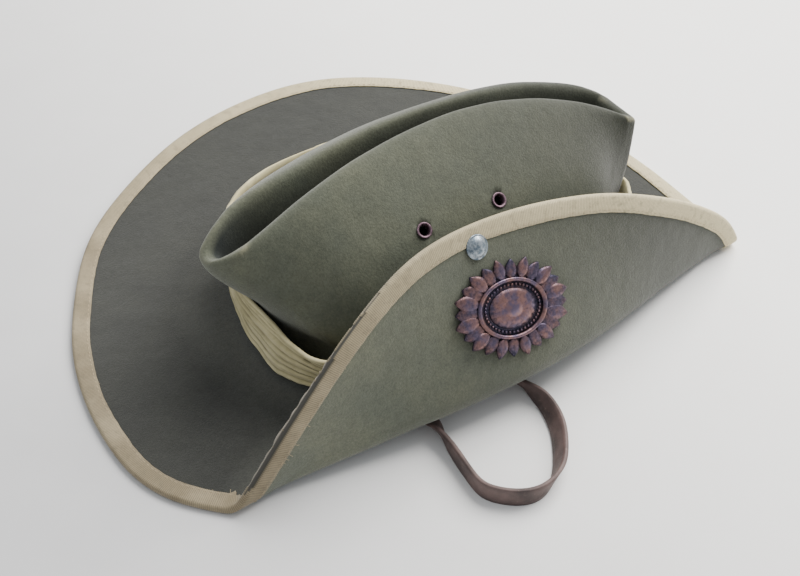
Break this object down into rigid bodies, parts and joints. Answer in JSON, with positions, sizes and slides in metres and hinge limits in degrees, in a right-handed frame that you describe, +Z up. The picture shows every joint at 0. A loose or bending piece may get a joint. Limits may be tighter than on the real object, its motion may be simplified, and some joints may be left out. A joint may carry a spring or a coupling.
{
  "type": "slouch hat",
  "caption": "Creased fur-felt hat with its bound brim turned up on one side, pleated cotton band, vent eyelets, press stud, oval leafy badge and leather chin strap.",
  "frame": {"origin": "centre of the whole hat's box, strap included, on the floor that the hat stands on", "axes": "+Z up, front of the hat towards -Y, the turned-up left side of the brim towards +X"},
  "size_m": [0.3418, 0.3576, 0.1124],
  "materials": {
    "felt": "matt fur felt",
    "tape": "ribbed woven tape, worn",
    "cotton": "plain woven cotton in pleats",
    "eyelet": "dark lacquered, worn",
    "stud": "dull nickel",
    "badge": "tarnished bronze",
    "leather": "dark brown, waxed"
  },
  "bodies": {
    "root": {"felt_body": "felt", "brim_binding": "tape", "puggaree": "cotton", "eyelet_front": "eyelet", "eyelet_back": "eyelet", "press_stud": "stud", "badge": "badge", "chin_strap": "leather"}
  },
  "joints": []
}
